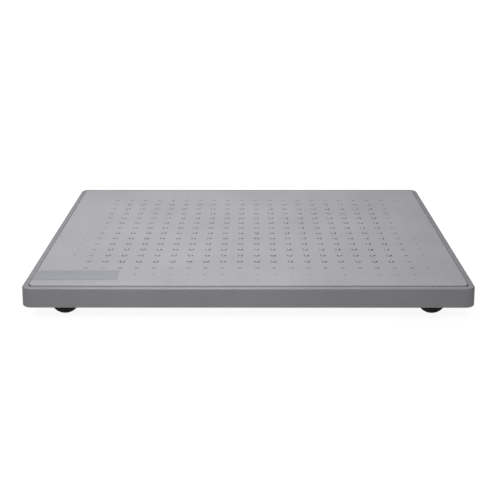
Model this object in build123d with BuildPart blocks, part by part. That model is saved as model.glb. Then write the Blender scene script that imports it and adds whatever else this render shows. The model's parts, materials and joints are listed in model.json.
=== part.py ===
from build123d import *
import os
from math import cos, radians, sin, tan

# Animal weighing platform. Millimetres, +X to the right, +Y to the rear, +Z up.
# The origin is the centre of the footprint, on the floor.

# --- deck: moulded cover and mat ---
width = 610.0
depth = 457.0
skirt_bottom_z = 26.6
rim_z = 54.0
draft_deg = 3.0
corner_r = 14.0
wall = 3.0
rim_width = 7.5
rim_fillet = 2.2
rim_inner_fillet = 0.5
lower_fillet = 1.2
mat_gap = 1.0
mat_rise = 1.3
mat_thickness = 3.0
mat_corner_r = 8.0
mat_edge_r = 1.2
recess_corner_r = 6.0

# --- raised pips of the mat, smaller towards the border ---
pip_pitch = 24.1
pip_columns = 24
pip_rows = 18
pip_r = 2.75
pip_rise = 1.5
ring_scales = [0.25, 0.4, 0.7]

# --- blank name panel, in the front left corner of the mat ---
panel_right_x = -179.0
panel_front_y = -200.0
panel_rear_y = -167.0
panel_thickness = 0.5

# --- steel sub-frame of square tube ---
tube = 20.0
tube_wall = 2.0
tube_corner_r = 2.0
plate_thickness = 4.0
inner_rail_y = 62.0

# --- load cells and feet ---
foot_x = 255.0
foot_y = 180.5
cell_length = 100.0
cell_width = 25.0
cell_height = 14.0
cell_end_margin = 12.5
cell_to_rail = 2.5
spacer_thickness = 2.0
spacer_length = 31.0
cell_screw_inset = 8.0
cell_screw_pitch = 15.0
window_r = 4.0
window_half_pitch = 11.0
window_slot = 3.0
stem_r = 5.0
stem_clearance = 0.05
ball_r = 7.0
ball_z = 13.5
ball_clearance = 0.3
neck_r = 4.2
collar_z = 19.6
collar_height = 3.5
collar_flats = 17.0
nut_flats = 16.0
nut_height = 5.0
dome_r = 20.5
dome_flat_r = 6.0
dome_top_z = 19.0
cup_r = 13.0
cup_bottom_z = 5.0
cup_top_z = 18.5

# --- wiring: every lead lies in one level plane ---
lead_r = 2.0
lead_bore = 0.1
lead_z = 39.3
lead_bend = 25.0
lead_y = 16.0
grommet_r = 4.5
clip_xs = [118.0, 196.0]
display_exit_x = 22.0
display_run_y = 112.0
socket_x = 120.0

# --- junction box ---
box_width = 100.0
box_depth = 56.0
box_wall = 2.2
box_lid = 2.5
gasket = 1.0
gland_length = 14.0
gland_flats = 13.0
gland_r = 5.0

box_corner_r = 5.0
box_screw_inset = 4.5
box_pillar_r = 3.4
lug_reach = 6.0
lug_thickness = 2.5
lug_above_tube = 10.0

# --- display socket in the rear of the skirt ---
pocket_r = 9.0
pocket_depth = 2.5
pocket_boss_r = 11.2
pocket_boss = 3.0
flange_thickness = 2.0
flange_gap = 0.4
socket_r = 6.0
socket_bore_r = 4.8
socket_bore_length = 7.0
socket_reach = 10.0
insert_r = 5.3
insert_recess = 0.5
contact_circle_r = 2.6
contact_r = 0.9

# --- ribs and gussets under the deck, and posts fixed to it ---
rib = 2.0
rib_depth = 5.0
front_rib_xs = [-210.0, -150.0, -90.0, -30.0, 30.0, 90.0, 150.0, 210.0]
centre_rib_xs = [-232.0, -158.0, -82.0, 82.0, 158.0, 232.0]
long_rib_length = 420.0
centre_rib_x = 157.0
centre_rib_length = 150.0
gusset_length = 7.0
gusset_depth = 12.0
gusset_pitch = 50.0
hold_down = 5.5
hold_down_xs = [-190.0, -70.0, 70.0, 190.0]
hold_down_y = 36.0
screw_post_r = 4.5
small_post_r = 3.5

# --- fasteners ---
pilot_r = 2.0
small_pilot_r = 1.25
pilot_depth = 16.0
small_pilot_depth = 7.0
washer = 1.2
washer_r = 9.0
cell_bolt_r = 2.95
cell_bolt_head_r = 6.0
cell_bolt_length = 18.0

# --- worked out from the dimensions above ---
mat_top_z = rim_z + mat_rise
recess_z = mat_top_z - mat_thickness
under_z = recess_z - wall
tube_bottom_z = under_z - tube
skirt_height = rim_z - skirt_bottom_z
slope = tan(radians(draft_deg))
top_width = width - 2 * skirt_height * slope
top_depth = depth - 2 * skirt_height * slope
recess_width = top_width - 2 * rim_width
recess_depth = top_depth - 2 * rim_width
mat_width = recess_width - 2 * mat_gap
mat_depth = recess_depth - 2 * mat_gap

plate_z = under_z - plate_thickness
spacer_z = plate_z - spacer_thickness
cell_z = spacer_z - cell_height
nut_z = cell_z - nut_height
stem_top_z = cell_z + cell_height + 1.5
cell_outer_y = foot_y + cell_end_margin
cell_inner_y = cell_outer_y - cell_length
cell_mid_y = (cell_outer_y + cell_inner_y) / 2
rail_inner_x = foot_x + cell_width / 2 + cell_to_rail
rail_inner_y = cell_outer_y + cell_to_rail
rail_x = rail_inner_x + tube / 2
rail_y = rail_inner_y + tube / 2
plate_inner_x = 237.0
plate_inner_y = inner_rail_y + tube / 2 + 3
screw_ys = [cell_inner_y + cell_screw_inset + n * cell_screw_pitch for n in range(2)]
box_z = tube_bottom_z + box_lid + gasket
box_height = under_z - box_z

corners = {
    "front_left": (-1, -1),
    "front_right": (1, -1),
    "rear_left": (-1, 1),
    "rear_right": (1, 1),
}
signs = (-1, 1)

# the self-tapping screws that hold the cover down on the frame stand beside the tubes
deck_screw_spots = [(sx * (rail_inner_x - hold_down), sy * hold_down_y) for sx in signs for sy in signs]
deck_screw_spots += [(x, sy * (rail_inner_y - hold_down)) for sy in signs for x in hold_down_xs]

# the clips of the leads hang from short posts, to the side of the lead
clip_tab = 8.0
clip_spots = [(sx * x, sy * lead_y, sy) for sx in signs for sy in signs for x in clip_xs]
clip_spots += [(72.0, display_run_y, 1)]
clip_thickness = 1.4
clip_ring_r = 3.3
clip_top_z = lead_z + clip_ring_r

os.makedirs("parts", exist_ok=True)


def across_y(x, y, z):
    """An upright plane through a point, facing the front."""
    return Plane(origin=(x, y, z), x_dir=(1, 0, 0), z_dir=(0, -1, 0))


def across_x(x, y, z):
    """An upright plane through a point, facing right."""
    return Plane(origin=(x, y, z), x_dir=(0, 1, 0), z_dir=(1, 0, 0))


def save(piece, name):
    piece.part.label = name
    export_step(piece.part, f"parts/{name}.step")


# ---------------------------------------------------------------- deck cover
socket_face_y = depth / 2 - (lead_z - skirt_bottom_z) * slope
pocket_y = socket_face_y - pocket_depth
boss_face_y = socket_face_y - wall - pocket_boss
lug_x = box_width / 2 + lug_reach
lug_z = tube_bottom_z + lug_above_tube


def rib_lines():
    """Centre, length in X and length in Y of each rib; ribs stop 2 mm short of the tubes."""
    side_y = (inner_rail_y + tube / 2 + rail_inner_y) / 2
    side_length = rail_inner_y - inner_rail_y - tube / 2 - 4
    lines = [(x, sy * side_y, rib, side_length) for x in front_rib_xs for sy in signs]
    lines += [(x, 0, rib, 2 * inner_rail_y - tube - 4) for x in centre_rib_xs]
    lines += [(0, sy * side_y, long_rib_length, rib) for sy in signs]
    lines += [(sx * centre_rib_x, 0, centre_rib_length, rib) for sx in signs]
    return lines


def along(half_length, pitch):
    """Evenly pitched places either side of zero, within the half length."""
    count = int(half_length / pitch)
    return [n * pitch for n in range(-count, count + 1)]


inner_x = width / 2 - wall - (under_z - skirt_bottom_z) * slope
inner_y = depth / 2 - wall - (under_z - skirt_bottom_z) * slope
gusset_x = inner_x - gusset_length / 2 + 1
gusset_y = inner_y - gusset_length / 2 + 1
on_axis = (Align.CENTER, Align.CENTER, Align.MIN)

with BuildPart() as deck_shell:
    with BuildSketch(Plane.XY.offset(skirt_bottom_z)):
        RectangleRounded(width, depth, corner_r)
    extrude(amount=skirt_height, taper=draft_deg)
    fillet(deck_shell.faces().sort_by(Axis.Z)[-1].edges(), rim_fillet)
    fillet(deck_shell.faces().sort_by(Axis.Z)[0].edges(), lower_fillet)
    with BuildSketch(Plane.XY.offset(skirt_bottom_z)):
        RectangleRounded(width - 2 * wall, depth - 2 * wall, corner_r - wall)
    extrude(amount=under_z - skirt_bottom_z, taper=draft_deg, mode=Mode.SUBTRACT)
    with BuildSketch(Plane.XY.offset(recess_z)):
        RectangleRounded(recess_width, recess_depth, recess_corner_r)
    extrude(amount=rim_z - recess_z, mode=Mode.SUBTRACT)
    rim_face = deck_shell.faces().filter_by(Axis.Z).sort_by(Axis.Z)[-1]
    fillet(rim_face.inner_wires()[0].edges(), rim_inner_fillet)
    # ribs that stiffen the panel
    with BuildSketch(Plane.XY.offset(under_z - rib_depth)):
        for x, y, length_x, length_y in rib_lines():
            with Locations((x, y)):
                Rectangle(length_x, length_y)
    extrude(amount=rib_depth)
    # gussets between the panel and the skirt, sunk 1 mm into the skirt
    with BuildSketch(Plane.XY.offset(under_z - gusset_depth)):
        with Locations(*[(x, sy * gusset_y) for x in along(inner_x - corner_r, gusset_pitch) for sy in signs]):
            Rectangle(rib, gusset_length + 2)
        with Locations(*[(sx * gusset_x, y) for y in along(inner_y - corner_r, gusset_pitch) for sx in signs]):
            Rectangle(gusset_length + 2, rib)
    extrude(amount=gusset_depth)
    # thickened and recessed seat of the display socket in the rear of the skirt
    with BuildSketch(Plane.XZ.offset(-boss_face_y)):
        with Locations((socket_x, lead_z)):
            Circle(pocket_boss_r)
    extrude(amount=-(pocket_boss + 1))
    with BuildSketch(Plane.XZ.offset(-pocket_y)):
        with Locations((socket_x, lead_z)):
            Circle(pocket_r)
    extrude(amount=-2 * pocket_depth, mode=Mode.SUBTRACT)
    with BuildSketch(Plane.XZ.offset(-pocket_y)):
        with Locations((socket_x, lead_z)):
            Circle(socket_r + 0.1)
    extrude(amount=2 * pocket_boss, mode=Mode.SUBTRACT)
save(deck_shell, "deck_shell")

# posts under the panel for the hold-down screws, the clips and the junction box
lug_posts = [(sx * lug_x, 0) for sx in signs]
clip_posts = [(x, y + sy * clip_tab) for x, y, sy in clip_spots]
lug_post_z = lug_z + lug_thickness
with BuildPart() as deck_posts:
    for spots, post_z, post_r in (
        (deck_screw_spots, tube_bottom_z, screw_post_r),
        (clip_posts, clip_top_z, small_post_r),
        (lug_posts, lug_post_z, small_post_r),
    ):
        with Locations(*[(x, y, post_z) for x, y in spots]):
            Cylinder(post_r, under_z - post_z, align=on_axis)
    for spots, post_z, bore_r, bore_depth in (
        (deck_screw_spots, tube_bottom_z, pilot_r, pilot_depth),
        (clip_posts, clip_top_z, small_pilot_r, small_pilot_depth - 1),
        (lug_posts, lug_post_z, small_pilot_r, small_pilot_depth),
    ):
        with Locations(*[(x, y, post_z) for x, y in spots]):
            Cylinder(bore_r, bore_depth, align=on_axis, mode=Mode.SUBTRACT)
save(deck_posts, "deck_posts")

# ------------------------------------------------------------- mat and panel
def pip_places():
    """X, Y and scale of each raised pip; the panel's place has none."""
    places = []
    for column in range(pip_columns):
        for row in range(pip_rows):
            x = (column - (pip_columns - 1) / 2) * pip_pitch
            y = (row - (pip_rows - 1) / 2) * pip_pitch
            ring = min(column, pip_columns - 1 - column, row, pip_rows - 1 - row)
            scale = ring_scales[ring] if ring < len(ring_scales) else 1.0
            under_panel = x < panel_right_x and panel_front_y < y < panel_rear_y
            if not under_panel:
                places.append((x, y, scale))
    return places


with BuildPart() as deck_mat:
    with BuildSketch(Plane.XY.offset(recess_z)):
        RectangleRounded(mat_width, mat_depth, mat_corner_r)
    extrude(amount=mat_thickness)
    fillet(deck_mat.faces().sort_by(Axis.Z)[-1].edges(), mat_edge_r)
    for size in sorted({scale for x, y, scale in pip_places()}):
        with BuildSketch(Plane.XY.offset(mat_top_z)):
            with Locations(*[(x, y) for x, y, scale in pip_places() if scale == size]):
                Circle(pip_r * size)
        extrude(amount=pip_rise * size, taper=40)
save(deck_mat, "deck_mat")

panel_left_x = -mat_width / 2 + mat_edge_r + 0.3
with BuildPart() as name_panel:
    with BuildSketch(Plane.XY.offset(mat_top_z)):
        with Locations(((panel_left_x + panel_right_x) / 2, (panel_front_y + panel_rear_y) / 2)):
            RectangleRounded(panel_right_x - panel_left_x, panel_rear_y - panel_front_y, 1.5)
    extrude(amount=panel_thickness)
save(name_panel, "name_panel")


# ------------------------------------------------------------ tube sub-frame
def tube_section(plane):
    """The hollow square section, on a plane across the tube."""
    with BuildSketch(plane) as section:
        RectangleRounded(tube, tube, tube_corner_r)
        RectangleRounded(tube - 2 * tube_wall, tube - 2 * tube_wall, tube_corner_r / 2, mode=Mode.SUBTRACT)
    return section.sketch


tube_z = tube_bottom_z + tube / 2
side_rail_length = 2 * (rail_y + tube / 2)
for side, sx in (("left", -1), ("right", 1)):
    with BuildPart() as side_rail:
        rear_end = across_y(sx * rail_x, side_rail_length / 2, tube_z)
        extrude(tube_section(rear_end), amount=side_rail_length)
    save(side_rail, f"side_rail_{side}")

for side, sy in (("front", -1), ("rear", 1)):
    with BuildPart() as cross_rail:
        left_end = across_x(-rail_inner_x, sy * rail_y, tube_z)
        extrude(tube_section(left_end), amount=2 * rail_inner_x)
        if side == "rear":
            # the socket's body reaches into the tube, and only its lead comes out in front
            with BuildSketch(Plane.XZ.offset(-rail_y)):
                with Locations((socket_x, lead_z)):
                    Circle(socket_r + 1.5)
            extrude(amount=-tube, mode=Mode.SUBTRACT)
            with BuildSketch(Plane.XZ):
                with Locations((socket_x, lead_z)):
                    Circle(lead_r + 1)
            extrude(amount=-depth, mode=Mode.SUBTRACT)
    save(cross_rail, f"cross_rail_{side}")

for side, sy in (("front", -1), ("rear", 1)):
    with BuildPart() as inner_rail:
        left_end = across_x(-rail_inner_x, sy * inner_rail_y, tube_z)
        extrude(tube_section(left_end), amount=2 * rail_inner_x)
        holes = [(-foot_x, lead_z), (foot_x, lead_z)]
        if side == "rear":
            holes.append((display_exit_x, lead_z))
        with BuildSketch(Plane.XZ):
            with Locations(*holes):
                Circle(grommet_r)
        extrude(amount=depth, both=True, mode=Mode.SUBTRACT)
    save(inner_rail, f"inner_rail_{side}")

with BuildPart() as rail_caps:
    for sx in signs:
        for sy in signs:
            end = across_y(sx * rail_x, sy * side_rail_length / 2, tube_z)
            with BuildSketch(end):
                RectangleRounded(tube, tube, tube_corner_r)
            extrude(amount=-sy * 1.6)
            with BuildSketch(end):
                inside = tube - 2 * tube_wall - 0.2
                RectangleRounded(inside, inside, tube_corner_r / 2)
            extrude(amount=sy * 9)
save(rail_caps, "rail_caps")


# ---------------------------------------------- load cells and their mounting
for corner, (sx, sy) in corners.items():
    with BuildPart() as corner_plate:
        with BuildSketch(Plane.XY.offset(plate_z)):
            with BuildLine():
                Polyline(
                    (sx * rail_inner_x, sy * rail_inner_y),
                    (sx * rail_inner_x, sy * plate_inner_y),
                    (sx * (plate_inner_x + 6), sy * plate_inner_y),
                    (sx * plate_inner_x, sy * (plate_inner_y + 6)),
                    (sx * plate_inner_x, sy * rail_inner_y),
                    close=True,
                )
            make_face()
        extrude(amount=plate_thickness)
        with Locations(*[(sx * foot_x, sy * y, under_z) for y in screw_ys]):
            CounterSinkHole(3.0, 6.1, counter_sink_angle=90)
        with Locations((sx * foot_x, sy * foot_y, under_z)):
            Hole(7.0)
    save(corner_plate, f"corner_plate_{corner}")

    with BuildPart() as load_cell:
        with BuildSketch(Plane.XY.offset(cell_z)):
            with Locations((sx * foot_x, sy * cell_mid_y)):
                Rectangle(cell_width, cell_length)
        extrude(amount=cell_height)
        chamfer(load_cell.edges(), 0.6)
        # the bending window: two bores joined by a slot
        with BuildSketch(Plane.YZ.offset(sx * foot_x)):
            with Locations((sy * cell_mid_y, cell_z + cell_height / 2)):
                with Locations((-window_half_pitch, 0), (window_half_pitch, 0)):
                    Circle(window_r)
                Rectangle(2 * window_half_pitch, window_slot)
        extrude(amount=cell_width, both=True, mode=Mode.SUBTRACT)
        with Locations((sx * foot_x, sy * foot_y, cell_z)):
            Cylinder(stem_r + stem_clearance, 4 * cell_height, mode=Mode.SUBTRACT)
        with Locations(*[(sx * foot_x, sy * y, cell_z) for y in screw_ys]):
            Cylinder(3.0, 4 * cell_height, mode=Mode.SUBTRACT)
    save(load_cell, f"load_cell_{corner}")

with BuildPart() as cell_spacers:
    for sx, sy in corners.values():
        with BuildSketch(Plane.XY.offset(spacer_z)):
            with Locations((sx * foot_x, sy * (cell_inner_y + spacer_length / 2))):
                Rectangle(cell_width, spacer_length)
            with Locations(*[(sx * foot_x, sy * y) for y in screw_ys]):
                Circle(3.2, mode=Mode.SUBTRACT)
        extrude(amount=spacer_thickness)
save(cell_spacers, "cell_spacers")

with BuildPart() as cell_screw:
    with BuildSketch(Plane.XZ):
        with BuildLine():
            Polyline(
                (0, 0),
                (cell_bolt_head_r, 0),
                (cell_bolt_r, cell_bolt_r - cell_bolt_head_r),
                (cell_bolt_r, -cell_bolt_length),
                (0, -cell_bolt_length),
                close=True,
            )
        make_face()
    revolve(axis=Axis.Z)
    with BuildSketch(Plane.XY):
        RegularPolygon(2.3, 6)
    extrude(amount=-2.2, mode=Mode.SUBTRACT)
with BuildPart() as cell_screws:
    with Locations(*[(sx * foot_x, sy * y, under_z) for sx, sy in corners.values() for y in screw_ys]):
        add(cell_screw.part)
save(cell_screws, "cell_screws")

# the sealing compound over the strain gauges, above and below each bending window
with BuildPart() as gauge_seals:
    for sx, sy in corners.values():
        for base_z in (cell_z - 0.8, cell_z + cell_height):
            with BuildSketch(Plane.XY.offset(base_z)):
                with Locations((sx * foot_x, sy * cell_mid_y)):
                    RectangleRounded(19, 36, 4)
            extrude(amount=0.8)
save(gauge_seals, "gauge_seals")


# ------------------------------------------------------------ levelling feet
# the pad's outline is an arc about a centre at dome_z, cut flat where it meets the floor
dome_z = (dome_r**2 - dome_flat_r**2) ** 0.5
dome_edge = (dome_r**2 - (dome_z - dome_top_z) ** 2) ** 0.5
dome_middle = (dome_r * cos(radians(41)), dome_z - dome_r * sin(radians(41)))
collar_top_z = collar_z + collar_height

for corner, (sx, sy) in corners.items():
    upright = across_y(sx * foot_x, sy * foot_y, 0)
    foot_axis = Axis((sx * foot_x, sy * foot_y, 0), (0, 0, 1))

    with BuildPart() as foot_dome:
        with BuildSketch(upright):
            with BuildLine():
                Polyline((cup_r, dome_top_z), (cup_r, cup_bottom_z), (0, cup_bottom_z))
                Polyline((0, cup_bottom_z), (0, 0), (dome_flat_r, 0))
                ThreePointArc((dome_flat_r, 0), dome_middle, (dome_edge, dome_top_z))
                Line((dome_edge, dome_top_z), (cup_r, dome_top_z))
            make_face()
        revolve(axis=foot_axis)
        rim_edge = foot_dome.faces().filter_by(Axis.Z).sort_by(Axis.Z)[-1].outer_wire().edges()
        fillet(rim_edge, 1.2)
    save(foot_dome, f"foot_dome_{corner}")

    with BuildPart() as foot_cup:
        with Locations((sx * foot_x, sy * foot_y, cup_bottom_z)):
            Cylinder(cup_r, cup_top_z - cup_bottom_z, align=on_axis)
        with Locations((sx * foot_x, sy * foot_y, ball_z)):
            Sphere(ball_r + ball_clearance, mode=Mode.SUBTRACT)
    save(foot_cup, f"foot_cup_{corner}")

    with BuildPart() as foot_stem:
        with Locations((sx * foot_x, sy * foot_y, ball_z)):
            Sphere(ball_r)
        with Locations((sx * foot_x, sy * foot_y, ball_z)):
            Cylinder(neck_r, collar_z - ball_z, align=on_axis)
        with BuildSketch(Plane(origin=(sx * foot_x, sy * foot_y, collar_z))):
            RegularPolygon(collar_flats / 2, 6, major_radius=False)
        extrude(amount=collar_height)
        with Locations((sx * foot_x, sy * foot_y, collar_top_z)):
            Cylinder(stem_r, stem_top_z - collar_top_z, align=on_axis)
        chamfer(foot_stem.edges().sort_by(Axis.Z)[-1], 0.8)
    save(foot_stem, f"foot_stem_{corner}")

    with BuildPart() as foot_nut:
        with BuildSketch(Plane(origin=(sx * foot_x, sy * foot_y, nut_z))):
            RegularPolygon(nut_flats / 2, 6, major_radius=False)
            Circle(stem_r + stem_clearance, mode=Mode.SUBTRACT)
        extrude(amount=nut_height)
    save(foot_nut, f"foot_nut_{corner}")


# ------------------------------------------------------------------- wiring
def lead(points, radii):
    """A round cable along straight runs joined by tangent arcs."""
    with BuildPart() as cable:
        with BuildLine() as route:
            FilletPolyline(*points, radius=radii)
        with BuildSketch(Plane(origin=route.line @ 0, z_dir=route.line % 0)):
            Circle(lead_r)
        sweep(path=route.line)
    return cable


inside_box = box_width / 2 - box_wall - 3
for corner, (sx, sy) in corners.items():
    cell_lead = lead(
        [
            (sx * foot_x, sy * cell_inner_y, lead_z),
            (sx * foot_x, sy * lead_y, lead_z),
            (sx * inside_box, sy * lead_y, lead_z),
        ],
        [lead_bend],
    )
    save(cell_lead, f"cell_lead_{corner}")

socket_back_y = boss_face_y - socket_reach
display_lead = lead(
    [
        (display_exit_x, box_depth / 2 - box_wall - 3, lead_z),
        (display_exit_x, display_run_y, lead_z),
        (socket_x, display_run_y, lead_z),
        (socket_x, socket_back_y, lead_z),
    ],
    [lead_bend, lead_bend],
)
save(display_lead, "display_lead")

# rubber boots where the leads leave the load cells
with BuildPart() as lead_boots:
    for sx, sy in corners.values():
        with BuildSketch(across_y(sx * foot_x, sy * cell_inner_y, lead_z)):
            Circle(3.8)
        extrude(amount=sy * 9, taper=8)
    with Locations(*[(sx * foot_x, sy * cell_inner_y, lead_z) for sx, sy in corners.values()]):
        Cylinder(lead_r + lead_bore, 30, rotation=(90, 0, 0), mode=Mode.SUBTRACT)
save(lead_boots, "lead_boots")

# grommets in both walls of an inner rail, wherever a lead crosses it
crossings = [(sx * foot_x, sy) for sx in signs for sy in signs] + [(display_exit_x, 1)]
with BuildPart() as grommet:
    with BuildSketch(Plane.XZ):
        Circle(grommet_r + 1.5)
    extrude(amount=1.0)
    with BuildSketch(Plane.XZ):
        Circle(grommet_r)
    extrude(amount=-tube_wall - 1.5)
    with BuildSketch(Plane.XZ):
        Circle(lead_r + lead_bore)
    extrude(amount=10, both=True, mode=Mode.SUBTRACT)
with BuildPart() as grommets:
    for x, sy in crossings:
        with Locations((x, sy * inner_rail_y - tube / 2, lead_z)):
            add(grommet.part)
        with Locations(Location((x, sy * inner_rail_y + tube / 2, lead_z), (0, 0, 180))):
            add(grommet.part)
save(grommets, "grommets")

with BuildPart() as clip:
    with BuildSketch(Plane.YZ):
        Circle(clip_ring_r)
        with Locations((clip_tab / 2 + 1.5, clip_ring_r - clip_thickness / 2)):
            Rectangle(clip_tab + 6, clip_thickness)
        Circle(lead_r + lead_bore / 2, mode=Mode.SUBTRACT)
    extrude(amount=4, both=True)
    with Locations((0, clip_tab, 0)):
        Cylinder(1.5, 20, mode=Mode.SUBTRACT)
with BuildPart() as cable_clips:
    for x, y, sy in clip_spots:
        with Locations(Location((x, y, lead_z), (0, 0, 0 if sy > 0 else 180))):
            add(clip.part)
save(cable_clips, "cable_clips")


# ------------------------------------------------------------- junction box
box_screw_x = box_width / 2 - box_screw_inset
box_screw_y = box_depth / 2 - box_screw_inset
box_screw_spots = [(sx * box_screw_x, sy * box_screw_y) for sx in signs for sy in signs]

with BuildPart() as junction_box:
    with BuildSketch(Plane.XY.offset(box_z)):
        RectangleRounded(box_width, box_depth, box_corner_r)
    extrude(amount=box_height)
    with BuildSketch(Plane.XY.offset(box_z)):
        RectangleRounded(box_width - 2 * box_wall, box_depth - 2 * box_wall, box_corner_r - box_wall)
    extrude(amount=box_height - box_wall, mode=Mode.SUBTRACT)
    with BuildSketch(Plane.XY.offset(box_z)):
        with Locations(*box_screw_spots):
            Circle(box_pillar_r)
    extrude(amount=box_height)
    with BuildSketch(Plane.XY.offset(lug_z)):
        with Locations((-lug_x + 2, 0), (lug_x - 2, 0)):
            SlotOverall(17, 11)
    extrude(amount=lug_thickness)
    with BuildSketch(Plane.XY.offset(box_z)):
        RectangleRounded(box_width - 2 * box_wall, box_depth - 2 * box_wall - 16, 1)
    extrude(amount=box_height - box_wall, mode=Mode.SUBTRACT)
    with Locations((-lug_x, 0, lug_z), (lug_x, 0, lug_z)):
        Cylinder(1.6, 20, mode=Mode.SUBTRACT)
    with BuildSketch(Plane.XY.offset(box_z)):
        with Locations(*box_screw_spots):
            Circle(small_pilot_r)
    extrude(amount=small_pilot_depth + 2, mode=Mode.SUBTRACT)
    with Locations((0, lead_y, lead_z), (0, -lead_y, lead_z)):
        Cylinder(gland_r, 2 * box_width, rotation=(0, 90, 0), mode=Mode.SUBTRACT)
    with Locations((display_exit_x, box_depth / 2, lead_z)):
        Cylinder(gland_r, 20, rotation=(90, 0, 0), mode=Mode.SUBTRACT)
save(junction_box, "junction_box")

with BuildPart() as box_gasket:
    with BuildSketch(Plane.XY.offset(box_z - gasket)):
        RectangleRounded(box_width - 1, box_depth - 1, box_corner_r - 0.5)
        inside = (box_width - 2 * box_wall, box_depth - 2 * box_wall)
        RectangleRounded(*inside, box_corner_r - box_wall, mode=Mode.SUBTRACT)
        with Locations(*box_screw_spots):
            Circle(box_pillar_r)
            Circle(1.7, mode=Mode.SUBTRACT)
    extrude(amount=gasket)
save(box_gasket, "box_gasket")

with BuildPart() as box_cover:
    with BuildSketch(Plane.XY.offset(tube_bottom_z)):
        RectangleRounded(box_width, box_depth, box_corner_r)
    extrude(amount=box_lid)
    fillet(box_cover.faces().sort_by(Axis.Z)[0].edges(), 1.0)
    with Locations(Plane.XY.offset(tube_bottom_z)):
        with Locations(*box_screw_spots):
            Cylinder(1.7, 4 * box_lid, mode=Mode.SUBTRACT)
save(box_cover, "box_lid")

# cable glands: hexagon against the wall, spigot in it, domed clamping nut outside
with BuildPart() as gland:
    with BuildSketch(Plane.XY):
        RegularPolygon(gland_flats / 2, 6, major_radius=False)
    extrude(amount=4.5)
    with BuildSketch(Plane.XY):
        Circle(gland_r - 0.05)
    extrude(amount=-box_wall - 1)
    with BuildSketch(Plane.XY.offset(4.5)):
        Circle(5.8)
    extrude(amount=gland_length - 4.5)
    fillet(gland.edges().sort_by(Axis.Z)[-1], 2.2)
    Cylinder(lead_r + lead_bore, 60, mode=Mode.SUBTRACT)
with BuildPart() as cable_glands:
    for sx in signs:
        for sy in signs:
            with Locations(Location((sx * box_width / 2, sy * lead_y, lead_z), (0, sx * 90, 0))):
                add(gland.part)
    with Locations(Location((display_exit_x, box_depth / 2, lead_z), (-90, 0, 0))):
        add(gland.part)
save(cable_glands, "cable_glands")

board_z = under_z - box_wall - 3.6
with BuildPart() as summing_board:
    with BuildSketch(Plane.XY.offset(board_z)):
        Rectangle(80, 34)
        with GridLocations(72, 27, 2, 2):
            Circle(1.4, mode=Mode.SUBTRACT)
    extrude(amount=1.6)
save(summing_board, "summing_board")

terminal_height = 2.0
with BuildPart() as terminal_blocks:
    with BuildSketch(Plane.XY.offset(board_z - terminal_height)):
        with Locations((-33, -10), (-33, 10), (33, -10), (33, 10)):
            Rectangle(8, 12)
        with Locations((display_exit_x, 12)):
            Rectangle(10, 7)
    extrude(amount=terminal_height)
save(terminal_blocks, "terminal_blocks")

with BuildPart() as trim_pots:
    with BuildSketch(Plane.XY.offset(board_z - 4.5)):
        with Locations((-18, -10), (-6, -10), (6, -10), (18, -10)):
            Rectangle(6.8, 6.8)
            Circle(1.1, mode=Mode.SUBTRACT)
    extrude(amount=4.5)
save(trim_pots, "trim_pots")


# ----------------------------------------------------------- display socket
socket_seat = across_y(socket_x, pocket_y, lead_z)
bore_end_y = pocket_y + flange_thickness - socket_bore_length
with BuildPart() as display_socket:
    with BuildSketch(socket_seat):
        Circle(pocket_r - flange_gap)
    extrude(amount=-flange_thickness)
    with BuildSketch(socket_seat):
        Circle(socket_r)
    extrude(amount=pocket_y - socket_back_y)
    with BuildSketch(across_y(socket_x, bore_end_y, lead_z)):
        Circle(socket_bore_r)
    extrude(amount=-socket_bore_length, mode=Mode.SUBTRACT)
    with BuildSketch(across_y(socket_x, bore_end_y, lead_z)):
        Circle(insert_r)
    extrude(amount=bore_end_y - socket_back_y, mode=Mode.SUBTRACT)
save(display_socket, "display_socket")

# the insulator sits in a wider bore behind the plug's bore, so that a plug can go all the way in
insert_front_y = bore_end_y - insert_recess
with BuildPart() as socket_insert:
    with BuildSketch(across_y(socket_x, insert_front_y, lead_z)):
        Circle(insert_r - 0.05)
        with PolarLocations(contact_circle_r, 4):
            Circle(contact_r, mode=Mode.SUBTRACT)
    extrude(amount=insert_front_y - socket_back_y)
save(socket_insert, "socket_insert")

with BuildPart() as socket_contacts:
    with BuildSketch(across_y(socket_x, insert_front_y - 0.4, lead_z)):
        with PolarLocations(contact_circle_r, 4):
            Circle(contact_r)
            Circle(contact_r - 0.3, mode=Mode.SUBTRACT)
    extrude(amount=insert_front_y - 0.4 - socket_back_y)
save(socket_contacts, "socket_contacts")

with BuildPart() as socket_nut:
    with BuildSketch(across_y(socket_x, boss_face_y, lead_z)):
        RegularPolygon(7.5, 6, major_radius=False)
        Circle(socket_r + 0.05, mode=Mode.SUBTRACT)
    extrude(amount=2.5)
save(socket_nut, "socket_nut")


# ---------------------------------------------------------------- fasteners
def pan_screw(head_r, head_height, shank_r, length):
    """A pan-head screw pointing up, its head's bearing face at the origin."""
    with BuildPart() as screw:
        Cylinder(head_r, head_height, align=(Align.CENTER, Align.CENTER, Align.MAX))
        fillet(screw.faces().sort_by(Axis.Z)[0].edges(), 0.4 * head_height)
        Cylinder(shank_r, length, align=on_axis)
    return screw.part


with BuildPart() as deck_washers:
    with BuildSketch(Plane.XY.offset(tube_bottom_z - washer)):
        with Locations(*deck_screw_spots):
            Circle(washer_r)
            Circle(pilot_r + 0.2, mode=Mode.SUBTRACT)
    extrude(amount=washer)
save(deck_washers, "deck_washers")

deck_screw = pan_screw(4.0, 2.2, pilot_r - 0.05, washer + pilot_depth - 2)
with BuildPart() as deck_screws:
    with Locations(*[(x, y, tube_bottom_z - washer) for x, y in deck_screw_spots]):
        add(deck_screw)
save(deck_screws, "deck_screws")

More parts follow.
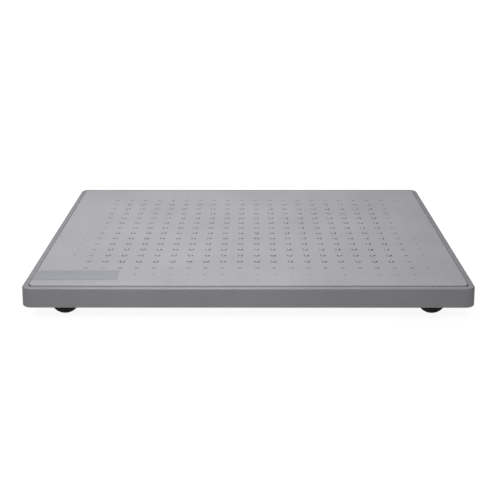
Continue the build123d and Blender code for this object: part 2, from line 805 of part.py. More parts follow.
small_screw = pan_screw(2.8, 1.7, small_pilot_r - 0.05, small_pilot_depth)
lid_spots = [(x, y, tube_bottom_z) for x, y in box_screw_spots]
lug_spots = [(sx * lug_x, 0, lug_z) for sx in signs]
clip_screw_z = lead_z + clip_ring_r - clip_thickness
clip_screw_spots = [(x, y + sy * clip_tab, clip_screw_z) for x, y, sy in clip_spots]
with BuildPart() as small_screws:
    with Locations(*lid_spots, *lug_spots, *clip_screw_spots):
        add(small_screw)
save(small_screws, "small_screws")
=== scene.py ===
import json
import math

import bpy
import bmesh
import numpy as np
from mathutils import Matrix, Vector
from mathutils.geometry import delaunay_2d_cdt


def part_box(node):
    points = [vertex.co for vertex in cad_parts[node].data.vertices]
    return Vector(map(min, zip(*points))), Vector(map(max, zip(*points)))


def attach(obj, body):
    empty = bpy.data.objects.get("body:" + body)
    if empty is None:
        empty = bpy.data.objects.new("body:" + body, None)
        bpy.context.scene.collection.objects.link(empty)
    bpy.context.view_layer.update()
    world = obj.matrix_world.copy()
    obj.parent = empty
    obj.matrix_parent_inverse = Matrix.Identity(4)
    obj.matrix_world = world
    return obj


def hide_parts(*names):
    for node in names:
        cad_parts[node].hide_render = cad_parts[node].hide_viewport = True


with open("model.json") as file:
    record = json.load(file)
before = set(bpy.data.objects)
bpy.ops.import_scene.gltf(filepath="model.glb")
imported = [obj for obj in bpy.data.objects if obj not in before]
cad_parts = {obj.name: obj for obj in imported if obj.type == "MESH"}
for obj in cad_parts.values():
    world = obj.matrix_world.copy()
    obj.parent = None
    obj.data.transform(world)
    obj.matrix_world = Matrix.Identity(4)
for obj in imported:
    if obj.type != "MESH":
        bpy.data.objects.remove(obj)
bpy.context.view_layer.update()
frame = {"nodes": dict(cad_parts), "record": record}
nodes = frame["nodes"]
scene = bpy.context.scene
CORNERS = ("front_left", "front_right", "rear_left", "rear_right")


# ------------------------------------------------------------ camera and stage
def add_camera():
    """Camera at the height and angle of the view that the object is matched to."""
    pitch, yaw, roll = math.radians(20.918), math.radians(-0.086), math.radians(-0.014)
    forward = Vector((math.sin(yaw) * math.cos(pitch), math.cos(yaw) * math.cos(pitch), -math.sin(pitch)))
    right = Vector((math.cos(yaw), -math.sin(yaw), 0))
    up = right.cross(forward)
    right, up = (
        math.cos(roll) * right + math.sin(roll) * up,
        math.cos(roll) * up - math.sin(roll) * right,
    )
    data = bpy.data.cameras.new("camera")
    data.sensor_width = 36
    data.lens = 61.3
    # beyond the floor's far edge
    data.clip_end = 100
    camera = bpy.data.objects.new("camera", data)
    camera.matrix_world = Matrix((right, up, -forward)).transposed().to_4x4()
    camera.location = (0.0038, -1.2648, 0.5058)
    scene.collection.objects.link(camera)
    scene.camera = camera


def area_light(name, location, target, size, power):
    data = bpy.data.lights.new(name, "AREA")
    data.shape = "RECTANGLE"
    data.size, data.size_y = size
    data.energy = power
    light = bpy.data.objects.new(name, data)
    light.location = location
    aim = Vector(target) - Vector(location)
    light.rotation_euler = aim.to_track_quat("-Z", "Y").to_euler()
    light.visible_camera = False
    scene.collection.objects.link(light)


def add_world():
    """A backdrop that looks white but gives little light."""
    world = bpy.data.worlds.new("studio")
    world.use_nodes = True
    tree = world.node_tree
    fill = tree.nodes["Background"]
    backdrop = tree.nodes.new("ShaderNodeBackground")
    for background, strength in ((fill, 0.10), (backdrop, 1.0)):
        background.inputs["Color"].default_value = (1, 1, 1, 1)
        background.inputs["Strength"].default_value = strength
    path = tree.nodes.new("ShaderNodeLightPath")
    mix = tree.nodes.new("ShaderNodeMixShader")
    tree.links.new(path.outputs["Is Camera Ray"], mix.inputs["Fac"])
    tree.links.new(fill.outputs["Background"], mix.inputs[1])
    tree.links.new(backdrop.outputs["Background"], mix.inputs[2])
    tree.links.new(mix.outputs["Shader"], tree.nodes["World Output"].inputs["Surface"])
    scene.world = world


def add_lights():
    """A softbox above, a weaker light in front and an even glow from the whole ceiling."""
    area_light("softbox", (-0.14, 0.11, 0.84), (-0.10, 0.08, 0), (0.7, 0.6), 6.6)
    area_light("front", (-0.13, -0.78, 0.52), (-0.08, -0.23, 0.04), (0.45, 0.2), 2.0)
    sun = bpy.data.lights.new("overhead", "SUN")
    sun.energy = 0.35
    sun.angle = math.radians(110)
    scene.collection.objects.link(bpy.data.objects.new("overhead", sun))


def add_floor():
    """A white floor at height 0."""
    half = 30
    corners = [(-half, -half, 0), (half, -half, 0), (half, half, 0), (-half, half, 0)]
    mesh = bpy.data.meshes.new("floor")
    mesh.from_pydata(corners, [], [(0, 1, 2, 3)])
    floor = bpy.data.objects.new("floor", mesh)
    scene.collection.objects.link(floor)
    material = bpy.data.materials.new("floor")
    material.use_nodes = True
    tree = material.node_tree
    shader = tree.nodes["Principled BSDF"]
    shader.inputs["Base Color"].default_value = (0.3, 0.3, 0.3, 1)
    shader.inputs["Roughness"].default_value = 0.9
    shader.inputs["Emission Color"].default_value = (1, 1, 1, 1)
    # the light falls off away from the object, so the floor's own glow makes up for it
    coordinates = tree.nodes.new("ShaderNodeTexCoord")
    distance = tree.nodes.new("ShaderNodeVectorMath")
    distance.operation = "LENGTH"
    glow = tree.nodes.new("ShaderNodeMapRange")
    for socket, value in (("From Min", 0.35), ("From Max", 1.5), ("To Min", 0.92), ("To Max", 1.0)):
        glow.inputs[socket].default_value = value
    # and it looks whiter than the light it throws up at the object
    path = tree.nodes.new("ShaderNodeLightPath")
    seen = tree.nodes.new("ShaderNodeMapRange")
    seen.inputs["To Min"].default_value = 0.2
    tree.links.new(path.outputs["Is Camera Ray"], seen.inputs["Value"])
    tree.links.new(glow.outputs["Result"], seen.inputs["To Max"])
    tree.links.new(coordinates.outputs["Object"], distance.inputs[0])
    tree.links.new(distance.outputs["Value"], glow.inputs["Value"])
    tree.links.new(seen.outputs["Result"], shader.inputs["Emission Strength"])
    mesh.materials.append(material)


# ------------------------------------------------------------------- materials
def new_material(name, color, roughness, metallic=0.0):
    material = bpy.data.materials.new(name)
    material.use_nodes = True
    shader = material.node_tree.nodes["Principled BSDF"]
    shader.inputs["Base Color"].default_value = (*color, 1)
    shader.inputs["Roughness"].default_value = roughness
    shader.inputs["Metallic"].default_value = metallic
    return material


def noise(material, scale, detail):
    """Noise in the object's own space, in cycles per metre."""
    tree = material.node_tree
    coordinates = tree.nodes.get("Texture Coordinate") or tree.nodes.new("ShaderNodeTexCoord")
    texture = tree.nodes.new("ShaderNodeTexNoise")
    texture.inputs["Scale"].default_value = scale
    texture.inputs["Detail"].default_value = detail
    tree.links.new(coordinates.outputs["Object"], texture.inputs["Vector"])
    return texture.outputs["Fac"]


def vary_color(material, factor, color, spread):
    """A colour that wanders by a share of itself to either side."""
    tree = material.node_tree
    ramp = tree.nodes.new("ShaderNodeValToRGB")
    dark, light = ramp.color_ramp.elements
    dark.position, light.position = 0.35, 0.65
    dark.color = (*(c * (1 - spread) for c in color), 1)
    light.color = (*(c * (1 + spread) for c in color), 1)
    tree.links.new(factor, ramp.inputs["Fac"])
    tree.links.new(ramp.outputs["Color"], tree.nodes["Principled BSDF"].inputs["Base Color"])


def vary_roughness(material, factor, low, high):
    tree = material.node_tree
    span = tree.nodes.new("ShaderNodeMapRange")
    for socket, value in (("From Min", 0.3), ("From Max", 0.7), ("To Min", low), ("To Max", high)):
        span.inputs[socket].default_value = value
    tree.links.new(factor, span.inputs["Value"])
    tree.links.new(span.outputs["Result"], tree.nodes["Principled BSDF"].inputs["Roughness"])


def add_bump(material, factor, depth):
    """A bump of a real depth, in metres."""
    tree = material.node_tree
    bump = tree.nodes.new("ShaderNodeBump")
    bump.inputs["Distance"].default_value = depth
    tree.links.new(factor, bump.inputs["Height"])
    tree.links.new(bump.outputs["Normal"], tree.nodes["Principled BSDF"].inputs["Normal"])


def grained_plastic(name, color, roughness, grain=0.0005, depth=0.00004, spread=0.03):
    """Moulded plastic or rubber: a fine grain, and slow clouds in colour and gloss."""
    material = new_material(name, color, roughness)
    clouds = noise(material, 14, 3)
    vary_color(material, clouds, color, spread)
    vary_roughness(material, clouds, roughness - 0.04, roughness + 0.04)
    add_bump(material, noise(material, 1 / grain, 2), depth)
    return material


def metal(name, color, roughness, scratches=900):
    """Plated or turned metal: uneven gloss, and scratches in cycles per metre."""
    material = new_material(name, color, roughness, 1.0)
    vary_color(material, noise(material, 45, 4), color, 0.06)
    vary_roughness(material, noise(material, 160, 4), roughness - 0.08, roughness + 0.1)
    add_bump(material, noise(material, scratches, 3), 0.00001)
    return material


# colour, roughness, grain size, grain depth, and the share by which the colour varies
PLASTICS = {
    "shell_plastic": ((0.303, 0.303, 0.321), 0.34),
    "mat_rubber": ((0.395, 0.397, 0.423), 0.44, 0.00035, 0.00003, 0.02),
    "panel_plastic": ((0.33, 0.335, 0.36), 0.45, 0.0003, 0.00001, 0.02),
    "frame_paint": ((0.09, 0.09, 0.095), 0.38, 0.0012, 0.00006, 0.1),
    "seal_compound": ((0.70, 0.70, 0.67), 0.5, 0.0025, 0.0001, 0.05),
    "black_rubber": ((0.022, 0.022, 0.023), 0.62, 0.0006, 0.00003, 0.15),
    "foot_rubber": ((0.023, 0.023, 0.0235), 0.62, 0.0007, 0.00003, 0.2),
    "black_nylon": ((0.028, 0.028, 0.03), 0.45, 0.0008, 0.00003, 0.1),
    "lead_sheath": ((0.07, 0.07, 0.075), 0.42, 0.0015, 0.00003, 0.08),
    "box_plastic": ((0.52, 0.52, 0.50), 0.45, 0.0006, 0.00004, 0.03),
    "board_green": ((0.015, 0.13, 0.05), 0.25, 0.001, 0.00002, 0.1),
    "terminal_plastic": ((0.04, 0.22, 0.10), 0.4),
    "pot_blue": ((0.02, 0.08, 0.38), 0.3),
}
# colour, roughness, scratches
METALS = {
    "zinc_steel": ((0.60, 0.61, 0.62), 0.34),
    "cell_alloy": ((0.72, 0.72, 0.73), 0.36, 1400),
    "nickel": ((0.66, 0.64, 0.60), 0.22),
    "contact_brass": ((0.78, 0.60, 0.28), 0.25),
}
MATERIALS = {name: grained_plastic(name, *values) for name, values in PLASTICS.items()}
MATERIALS |= {name: metal(name, *values) for name, values in METALS.items()}
for rubber in ("foot_rubber", "black_rubber"):
    shader_inputs = MATERIALS[rubber].node_tree.nodes["Principled BSDF"].inputs
    shader_inputs["Specular IOR Level"].default_value = 0.22


# ------------------------------------------------------------- mesh helpers
def mesh_piece(name, vertices, faces, slot_name, body, sharp_deg):
    """One mesh object with smooth shading between its sharp edges, riding on a body."""
    mesh = bpy.data.meshes.new(name)
    mesh.from_pydata([tuple(v) for v in vertices], [], [tuple(f) for f in faces])
    mesh.validate()
    shape = bmesh.new()
    shape.from_mesh(mesh)
    bmesh.ops.remove_doubles(shape, verts=shape.verts, dist=1e-7)
    bmesh.ops.dissolve_degenerate(shape, edges=shape.edges, dist=1e-7)
    bmesh.ops.recalc_face_normals(shape, faces=shape.faces)
    shape.to_mesh(mesh)
    shape.free()
    mesh.polygons.foreach_set("use_smooth", [True] * len(mesh.polygons))
    mesh.set_sharp_from_angle(angle=math.radians(sharp_deg))
    mesh.materials.append(MATERIALS[slot_name])
    piece = bpy.data.objects.new(name, mesh)
    scene.collection.objects.link(piece)
    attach(piece, body)
    return piece


def joined(parts):
    """Several meshes as one list of vertices and one of faces."""
    all_vertices, all_faces = [], []
    for vertices, faces in parts:
        start = len(all_vertices)
        all_vertices += vertices
        all_faces += [[start + i for i in face] for face in faces]
    return all_vertices, all_faces


def copies(vertices, faces, places):
    """The same small mesh at several places."""
    return joined([([place @ Vector(v) for v in vertices], faces) for place in places])


def add_rings(vertices, faces, edge, rings):
    """Adds walls from an edge through rings of as many points, and a flat cap on the last ring."""
    for points in rings:
        ring = range(len(vertices), len(vertices) + len(points))
        vertices += points
        for i in range(len(ring)):
            j = (i + 1) % len(ring)
            faces.append((edge[i], edge[j], ring[j], ring[i]))
        edge = ring
    faces.append(tuple(edge))


def rings_mesh(rings, capped=True):
    """Quads between rings of equal length, with or without a flat cap at each end."""
    count = len(rings[0])
    vertices = [point for ring in rings for point in ring]
    faces = []
    for base in range(0, len(vertices) - count, count):
        for i in range(count):
            j = (i + 1) % count
            faces.append((base + i, base + j, base + count + j, base + count + i))
    if capped:
        faces.append(tuple(range(count))[::-1])
        faces.append(tuple(range(len(vertices) - count, len(vertices))))
    return vertices, faces


def circle(x, y, radius, sides):
    angles = [2 * math.pi * i / sides for i in range(sides)]
    return [(x + radius * math.cos(a), y + radius * math.sin(a)) for a in angles]


def level(outline, height):
    """A flat outline's points, at a height."""
    return [(x, y, height) for x, y in outline]


def lathe(profile, segments):
    """A solid of revolution about Z; the profile's first and last points lie on the axis."""
    rings = [level(circle(0, 0, radius, segments), height) for radius, height in profile[1:-1]]
    vertices, faces = rings_mesh(rings, capped=False)
    for (_, height), base in ((profile[0], 0), (profile[-1], len(vertices) - segments)):
        tip = len(vertices)
        vertices.append((0, 0, height))
        faces += [(tip, base + i, base + (i + 1) % segments) for i in range(segments)]
    return vertices, faces


def arc(centre, radius, start_deg, end_deg, steps):
    angles = [math.radians(start_deg + (end_deg - start_deg) * i / steps) for i in range(steps + 1)]
    return [(centre[0] + radius * math.cos(a), centre[1] + radius * math.sin(a)) for a in angles]


def rounded_rectangle(low, high, inset, radius, steps=8):
    """Points around a rounded rectangle, anticlockwise, from two corners and an inset."""
    smallest = 0.00005
    r = max(radius - inset, smallest)
    x0, y0 = low[0] + inset + r, low[1] + inset + r
    x1, y1 = high[0] - inset - r, high[1] - inset - r
    points = []
    for centre, start in (((x1, y1), 0), ((x0, y1), 90), ((x0, y0), 180), ((x1, y0), 270)):
        points += arc(centre, r, start, start + 90, steps)
    return points


def flat_with_holes(outline, holes, height):
    """Triangles that fill an outline but not its holes, and the places of each loop's points."""
    outlines = [outline] + holes
    points, edges, starts = [], [], []
    for loop in outlines:
        starts.append(len(points))
        edges += [(len(points) + i, len(points) + (i + 1) % len(loop)) for i in range(len(loop))]
        points += loop
    inside_only = 2
    flat = [Vector(point) for point in points]
    found, _, faces, origins, _, _ = delaunay_2d_cdt(flat, edges, [], inside_only, 1e-8)
    place_of = {source: i for i, sources in enumerate(origins) for source in sources}
    loops = [[place_of[start + i] for i in range(len(loop))] for start, loop in zip(starts, outlines)]
    return level(found, height), [tuple(face) for face in faces], loops


def islands(name):
    """Low and high corner of each separate solid of a CAD node."""
    mesh = nodes[name].data
    place = nodes[name].matrix_world
    number, parent = {}, []
    corner_of = []
    for vertex in mesh.vertices:
        spot = tuple(round(c, 6) for c in place @ vertex.co)
        if spot not in number:
            number[spot] = len(parent)
            parent.append(len(parent))
        corner_of.append(number[spot])

    def root(i):
        while parent[i] != i:
            parent[i] = parent[parent[i]]
            i = parent[i]
        return i

    for face in mesh.polygons:
        first, *others = [corner_of[i] for i in face.vertices]
        for other in others:
            parent[root(other)] = root(first)
    solids = {}
    for spot, i in number.items():
        solids.setdefault(root(i), []).append(spot)
    boxes = [np.array(spots) for spots in solids.values()]
    return sorted((tuple(box.min(axis=0)), tuple(box.max(axis=0))) for box in boxes)


def middle_of(low, high):
    return (low[0] + high[0]) / 2, (low[1] + high[1]) / 2


# --------------------------------------------------------------- mat and panel
PIP_PITCH, PIP_COLUMNS, PIP_ROWS = 0.0241, 24, 18
PIP_RISE = 0.0015
PIP_SIDES = 20
# how large the pips are in the outermost rings of the grid
RING_SCALES = (0.25, 0.4, 0.7)
# radius and height of the rings of a full-size pip, from its foot to its flat top
PIP_PROFILE = (
    (0.00295, 0.0),
    (0.00272, 0.00012),
    (0.00252, 0.00045),
    (0.00228, 0.00085),
    (0.00190, 0.00122),
    (0.00135, 0.00143),
    (0.00065, PIP_RISE),
)
MAT_CORNER, MAT_EDGE, MAT_EDGE_STEPS = 0.008, 0.0012, 6
# flat strip around each pip and inside the rounded edge, which keeps their shading apart
FLAT_STRIP = 0.0009


def pip_places():
    """Centre and scale of each pip; none stands where the name panel lies."""
    panel_low, panel_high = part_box("name_panel")
    places = []
    for column in range(PIP_COLUMNS):
        for row in range(PIP_ROWS):
            x = (column - (PIP_COLUMNS - 1) / 2) * PIP_PITCH
            y = (row - (PIP_ROWS - 1) / 2) * PIP_PITCH
            ring = min(column, PIP_COLUMNS - 1 - column, row, PIP_ROWS - 1 - row)
            scale = RING_SCALES[ring] if ring < len(RING_SCALES) else 1.0
            if not (x < panel_high.x and panel_low.y < y < panel_high.y):
                places.append((x, y, scale))
    return places


def make_mat():
    low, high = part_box("deck_mat")
    top = high.z - PIP_RISE
    pips = pip_places()
    # the flat of the top: the mat's outline with a round hole for each pip
    outline = rounded_rectangle(low, high, MAT_EDGE + FLAT_STRIP, MAT_CORNER)
    hole_r = PIP_PROFILE[0][0] + FLAT_STRIP
    holes = [circle(x, y, hole_r * scale, PIP_SIDES) for x, y, scale in pips]
    vertices, faces, (outside, *hole_edges) = flat_with_holes(outline, holes, top)
    for (x, y, scale), edge in zip(pips, hole_edges):
        rings = [level(circle(x, y, r * scale, PIP_SIDES), top + h * scale) for r, h in PIP_PROFILE]
        add_rings(vertices, faces, edge, rings)
    # the rounded edge, the side and the underside
    turns = [math.radians(90 * i / MAT_EDGE_STEPS) for i in range(MAT_EDGE_STEPS + 1)]
    sides = [(MAT_EDGE * (1 - math.sin(a)), top - MAT_EDGE * (1 - math.cos(a))) for a in turns]
    sides += [(0, low.z + 0.0004), (0.0004, low.z), (0.0015, low.z)]
    rings = [level(rounded_rectangle(low, high, inset, MAT_CORNER), height) for inset, height in sides]
    add_rings(vertices, faces, outside, rings)
    mat = mesh_piece("deck_mat_surface", vertices, faces, "mat_rubber", "mat", 50)
    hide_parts("deck_mat")


def stacked_plate(low, high, profile, corner_of):
    """A plate from insets and heights, with a corner radius for each inset."""
    rings = []
    for inset, height in profile:
        rings.append(level(rounded_rectangle(low, high, inset, corner_of(inset), 5), height))
    return rings_mesh(rings)


def make_name_panel():
    """A blank plate with a soft edge, and a blank field sunk inside its border."""
    low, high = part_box("name_panel")
    edge, border, sunk, step = 0.0002, 0.0022, 0.00012, 0.0001
    profile = [(step, low.z), (0, low.z + step), (0, high.z - edge), (edge * 0.3, high.z - edge * 0.3)]
    profile += [(edge, high.z), (border, high.z), (border + step, high.z - sunk)]
    plate = stacked_plate(low, high, profile, lambda inset: 0.0015 + inset / 2)
    piece = mesh_piece("name_plate", *plate, "panel_plastic", "mat", 40)
    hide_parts("name_panel")
    field_edge, floor = border + 0.0009, high.z - sunk
    profile = [(field_edge, floor - 0.00005), (field_edge, floor + 0.00003)]
    profile.append((field_edge + step, floor + 0.00005))
    field = stacked_plate(low, high, profile, lambda inset: 0.004)
    mesh_piece("name_field", *field, "panel_plastic", "mat", 40)


# ------------------------------------------------------------- levelling feet
# sizes of the foot in the CAD model
DOME_R, DOME_FLAT_R = 0.0205, 0.006
BALL_R, BALL_ABOVE_CUP, NECK_R = 0.007, 0.0085, 0.0042
COLLAR_Z, COLLAR_HEIGHT, COLLAR_FLATS = 0.0196, 0.0035, 0.017
STEM_R, NUT_FLATS = 0.005, 0.016
# detail that only shows here
THREAD_PITCH, THREAD_DEPTH, THREAD_RUN_IN = 0.0015, 0.0008, 0.0012
THREAD_COLUMNS, THREAD_ROWS_PER_TURN = 32, 8
HEX_STEPS = 16
BORE_CHAMFER = 0.0007
PAD_SEGMENTS, CUP_SEGMENTS, STEM_SEGMENTS = 96, 64, 48


def hex_rings(flats, low, high):
    """Rings of a hexagon with a flat facing along Y, its corners chamfered at both ends."""
    angles = [2 * math.pi * i / (6 * HEX_STEPS) + math.pi / 6 for i in range(6 * HEX_STEPS)]
    land = flats / 2 * 0.97

    def ring(radius_of, height_of):
        return [(radius_of(a) * math.cos(a), radius_of(a) * math.sin(a), height_of(a)) for a in angles]

    def side(a):
        return flats / 2 / math.cos(a % (math.pi / 3) - math.pi / 6)

    def drop(a):
        return (side(a) - land) * math.tan(math.radians(30))

    return [
        ring(lambda a: land, lambda a: low),
        ring(side, lambda a: low + drop(a)),
        ring(side, lambda a: high - drop(a)),
        ring(lambda a: land, lambda a: high),
    ]


def nut_rings(flats, low, high, bore):
    """Rings of a hexagon nut, from its bore round the outside and back into the bore."""
    outside = hex_rings(flats, low, high)

    def bore_ring(radius, height):
        angles = [math.atan2(y, x) for x, y, _ in outside[0]]
        return [(radius * math.cos(a), radius * math.sin(a), height) for a in angles]

    mouth = bore + BORE_CHAMFER
    first = bore_ring(bore, low + BORE_CHAMFER)
    last = bore_ring(bore, high - BORE_CHAMFER)
    return [first, bore_ring(mouth, low), *outside, bore_ring(mouth, high), last, first]


def thread(radius, low, high):
    """A right-hand V thread: the rows climb by one pitch for each turn."""
    columns, rows_per_turn = THREAD_COLUMNS, THREAD_ROWS_PER_TURN
    rows = int((high - low) / THREAD_PITCH * rows_per_turn) + 2 * rows_per_turn
    core = radius - THREAD_DEPTH
    vertices, faces = [], []
    for row in range(rows + 1):
        for column in range(columns):
            turns = row / rows_per_turn + column / columns - 1
            height = min(max(low + turns * THREAD_PITCH, low), high)
            flank = abs(2 * ((row / rows_per_turn) % 1) - 1)
            from_end = min(height - low, high - height)
            crest = min(core + THREAD_DEPTH * flank, core - 0.0001 + from_end * THREAD_DEPTH / THREAD_RUN_IN)
            angle = 2 * math.pi * column / columns
            vertices.append((crest * math.cos(angle), crest * math.sin(angle), height))
    for row in range(rows):
        for column in range(columns):
            here = row * columns + column
            if column < columns - 1:
                faces.append((here, here + 1, here + columns + 1, here + columns))
            elif row + rows_per_turn < rows:
                # the seam joins a row to the row one turn up
                first = (row + rows_per_turn) * columns
                faces.append((here, first, first + columns, here + columns))
    return vertices, faces


def make_dome(corner, place):
    """The rubber pad: a dome with a flat tread, a rounded rim and a groove round the cup."""
    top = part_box(f"foot_dome_{corner}")[1].z
    cup_low, cup_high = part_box(f"foot_cup_{corner}")
    cup_r = (cup_high.x - cup_low.x) / 2
    lip_r, tread_step = 0.0012, 0.00012
    middle = math.sqrt(DOME_R**2 - DOME_FLAT_R**2)
    rim_r = math.sqrt(DOME_R**2 - (middle - top) ** 2)
    start = -math.degrees(math.acos(DOME_FLAT_R / DOME_R))
    stop = math.degrees(math.asin((top - 0.0016 - middle) / DOME_R))
    profile = [(0, 0), (DOME_FLAT_R - 0.0012, 0), (DOME_FLAT_R, tread_step)]
    profile += arc((0, middle), DOME_R, start, stop, 28)[1:]
    profile += arc((rim_r - 0.0013, top - lip_r), lip_r, 0, 90, 5)
    profile += [(cup_r + 0.0016, top), (cup_r + 0.0012, top - 0.0005), (cup_r + 0.0005, top - 0.0005)]
    profile += [(cup_r + 0.0001, top), (cup_r, cup_low.z), (0, cup_low.z)]
    pad = copies(*lathe(profile, PAD_SEGMENTS), [place])
    piece = mesh_piece(f"foot_pad_{corner}", *pad, "foot_rubber", f"pad_{corner}", 30)
    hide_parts(f"foot_dome_{corner}")


def make_cup(corner, place, ball_z):
    """The steel cup, hollowed for the stem's ball."""
    low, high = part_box(f"foot_cup_{corner}")
    radius = (high.x - low.x) / 2
    socket_r = BALL_R + 0.0003
    mouth_deg = math.degrees(math.asin((high.z - 0.0004 - ball_z) / socket_r))
    profile = [(0, low.z), (radius - 0.0005, low.z), (radius, low.z + 0.0005)]
    profile += [(radius, high.z - 0.0006), (radius - 0.0006, high.z), (0.0062, high.z)]
    profile += arc((0, ball_z), socket_r, mouth_deg, -90, 20)[:-1]
    profile.append((0, ball_z - socket_r))
    cup = copies(*lathe(profile, CUP_SEGMENTS), [place])
    piece = mesh_piece(f"foot_socket_{corner}", *cup, "zinc_steel", f"pad_{corner}", 30)
    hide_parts(f"foot_cup_{corner}")


def make_stem(corner, place, ball_z):
    """The ball, its neck, the hexagon collar and the threaded rod, as one turned part."""
    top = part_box(f"foot_stem_{corner}")[1].z
    collar_top = COLLAR_Z + COLLAR_HEIGHT
    neck_z = ball_z + math.sqrt(BALL_R**2 - NECK_R**2)
    flare_r = NECK_R + 0.0008
    profile = [(0, ball_z - BALL_R)]
    profile += arc((0, ball_z), BALL_R, -90, math.degrees(math.acos(NECK_R / BALL_R)), 20)[1:]
    profile += [(NECK_R, neck_z + 0.0003), (NECK_R, COLLAR_Z - 0.0004), (flare_r, COLLAR_Z)]
    profile += [(flare_r, COLLAR_Z + 0.0005), (0, COLLAR_Z + 0.0005)]
    collar = rings_mesh(hex_rings(COLLAR_FLATS, COLLAR_Z, collar_top))
    rod = thread(STEM_R, collar_top - 0.0002, top)
    stem = copies(*joined((lathe(profile, STEM_SEGMENTS), collar, rod)), [place])
    piece = mesh_piece(f"foot_screw_{corner}", *stem, "zinc_steel", f"stem_{corner}", 25)
    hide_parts(f"foot_stem_{corner}")


def make_lock_nut(corner, place):
    low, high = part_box(f"foot_nut_{corner}")
    rings = nut_rings(NUT_FLATS, low.z, high.z, STEM_R + 0.00005)
    nut = copies(*rings_mesh(rings, capped=False), [place])
    piece = mesh_piece(f"lock_nut_{corner}", *nut, "zinc_steel", f"nut_{corner}", 25)
    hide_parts(f"foot_nut_{corner}")


def make_feet():
    for corner in CORNERS:
        place = Matrix.Translation((*middle_of(*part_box(f"foot_dome_{corner}")), 0))
        ball_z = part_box(f"foot_cup_{corner}")[0].z + BALL_ABOVE_CUP
        make_dome(corner, place)
        make_cup(corner, place, ball_z)
        make_stem(corner, place, ball_z)
        make_lock_nut(corner, place)


# --------------------------------------------------------- screws, washers, welds
HEAD_SIDES, HEAD_STEPS, WASHER_SIDES = 48, 7, 64
SCREW_TURN = 0.9
BEAD_R, BEAD_RIPPLE, BEAD_SIDES, BEAD_STEPS = 0.0017, 0.0017, 14, 5


def cross(half_width, reach):
    """A cross of four equal arms, anticlockwise."""
    corners = []
    for quarter in range(4):
        turn = Matrix.Rotation(quarter * math.pi / 2, 2)
        for point in ((reach, -half_width), (reach, half_width), (half_width, half_width)):
            corners.append(tuple(turn @ Vector(point)))
    return corners


def pan_screw(head_r, head_height, shank_r, length):
    """A cross-recessed pan head screw that points up, its head's underside at height 0."""
    land_r, recess, bevel = head_r * 0.62, head_height * 0.62, 0.0001
    slot = cross(head_r * 0.11, head_r * 0.50)
    outline = circle(0, 0, land_r, HEAD_SIDES)
    vertices, faces, (edge, mouth) = flat_with_holes(outline, [slot], -head_height)
    # the recess narrows as it goes in
    rings = []
    for share, depth in ((0.97, 0.15), (0.62, 1.0)):
        rings.append([(x * share, y * share, -head_height + recess * depth) for x, y in slot])
    add_rings(vertices, faces, mouth, rings)
    # the rounded side of the head, then the shank
    profile = []
    for i in range(1, HEAD_STEPS + 1):
        a = math.radians(90 * i / HEAD_STEPS)
        radius = land_r + (head_r - land_r) * math.sin(a)
        profile.append((radius, -head_height * (0.25 + 0.75 * math.cos(a))))
    profile += [(head_r, -bevel), (head_r - bevel, 0), (shank_r, 0), (shank_r, length - 0.001)]
    profile.append((shank_r * 0.4, length))
    rings = [level(circle(0, 0, radius, HEAD_SIDES), height) for radius, height in profile]
    add_rings(vertices, faces, edge, rings)
    return vertices, faces


def make_screws(name, node, shank_r, height_of):
    """Screws in the place of a node's, each turned a little further than the one before."""
    boxes = islands(node)
    low, high = boxes[0]
    head_r = (high[0] - low[0]) / 2
    head_height = height_of(head_r)
    screw = pan_screw(head_r, head_height, shank_r, high[2] - low[2] - head_height)
    places = []
    for n, (low, high) in enumerate(boxes):
        spot = Matrix.Translation((*middle_of(low, high), low[2] + head_height))
        places.append(spot @ Matrix.Rotation(n * SCREW_TURN, 4, "Z"))
    piece = mesh_piece(name, *copies(*screw, places), "zinc_steel", "platform", 30)
    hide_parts(node)


def make_washers():
    boxes = islands("deck_washers")
    low, high = boxes[0]
    radius, thickness = (high[0] - low[0]) / 2, high[2] - low[2]
    bore, bevel = 0.0022, 0.0003
    profile = [(bore, 0), (radius - bevel, 0), (radius, bevel), (radius, thickness), (bore, thickness)]
    rings = [level(circle(0, 0, r, WASHER_SIDES), height) for r, height in profile + profile[:1]]
    places = [Matrix.Translation((*middle_of(low, high), low[2])) for low, high in boxes]
    washers = copies(*rings_mesh(rings, capped=False), places)
    piece = mesh_piece("hold_down_washers", *washers, "zinc_steel", "platform", 30)
    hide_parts("deck_washers")


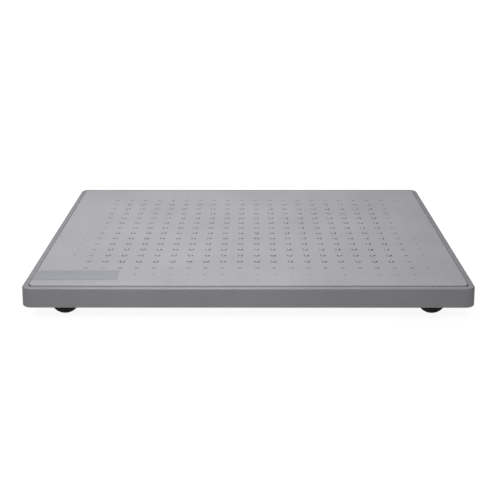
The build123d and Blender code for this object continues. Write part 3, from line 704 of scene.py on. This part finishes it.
def bead(start, end):
    """A rippled weld between two points, tapered at its ends."""
    start, end = Vector(start), Vector(end)
    length = (end - start).length
    ahead = (end - start).normalized()
    side = ahead.orthogonal().normalized()
    up = ahead.cross(side)
    steps = int(length / BEAD_RIPPLE) * BEAD_STEPS
    angles = [2 * math.pi * k / BEAD_SIDES for k in range(BEAD_SIDES)]
    rings = []
    for i in range(steps + 1):
        travel = length * i / steps
        from_end = min(travel, length - travel)
        taper = math.sqrt(min(1, 0.1 + from_end / (1.6 * BEAD_R)))
        swell = 1.06 - 0.16 * (2 * ((travel / BEAD_RIPPLE) % 1) - 1) ** 2
        r = BEAD_R * taper * swell
        rings.append([start + ahead * travel + (side * math.cos(a) + up * math.sin(a)) * r for a in angles])
    return rings_mesh(rings)


def tube_seams(face_x, tube):
    """Under a cross tube's end, and up the sides of it that don't end flush with the side tube."""
    low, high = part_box(tube)
    frame_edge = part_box("side_rail_left")[1].y - 0.001
    seam_z = low.z + 0.0011
    seams = [((face_x, low.y + 0.001, seam_z), (face_x, high.y - 0.001, seam_z))]
    for y in (low.y, high.y):
        if abs(y) < frame_edge:
            seams.append(((face_x, y, low.z + 0.002), (face_x, y, high.z - 0.0045)))
    return seams


def plate_stitches(face_x, corner):
    """Two stitches along the side tube and one along the cross tube."""
    low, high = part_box(f"corner_plate_{corner}")
    middle_x, middle_y = middle_of(low, high)
    stitches = []
    for y in (middle_y - 0.035, middle_y + 0.015):
        stitches.append(((face_x, y, low.z), (face_x, y + 0.020, low.z)))
    outer_y = low.y if corner.startswith("front") else high.y
    stitches.append(((middle_x - 0.008, outer_y, low.z), (middle_x + 0.008, outer_y, low.z)))
    return stitches


def make_welds():
    runs = []
    for side in ("left", "right"):
        rail_low, rail_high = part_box(f"side_rail_{side}")
        face_x = rail_high.x if side == "left" else rail_low.x
        for tube in ("cross_rail_front", "cross_rail_rear", "inner_rail_front", "inner_rail_rear"):
            runs += tube_seams(face_x, tube)
        for end in ("front", "rear"):
            runs += plate_stitches(face_x, f"{end}_{side}")
    welds = joined([bead(start, end) for start, end in runs])
    mesh_piece("frame_welds", *welds, "frame_paint", "platform", 60)


def paint_cad_nodes():
    """Gives every CAD node the material of its slot."""
    for part in frame["record"]["subparts"]:
        materials = nodes[part["node"]].data.materials
        materials.clear()
        materials.append(MATERIALS[part["material_slot"]])


scene.view_settings.view_transform = "Standard"
add_camera()
add_world()
add_lights()
add_floor()
paint_cad_nodes()
make_mat()
make_name_panel()
make_feet()
make_screws("cover_screws", "deck_screws", 0.00195, lambda head_r: 0.55 * head_r)
make_screws("fixing_screws", "small_screws", 0.0012, lambda head_r: 0.0017)
make_washers()
make_welds()
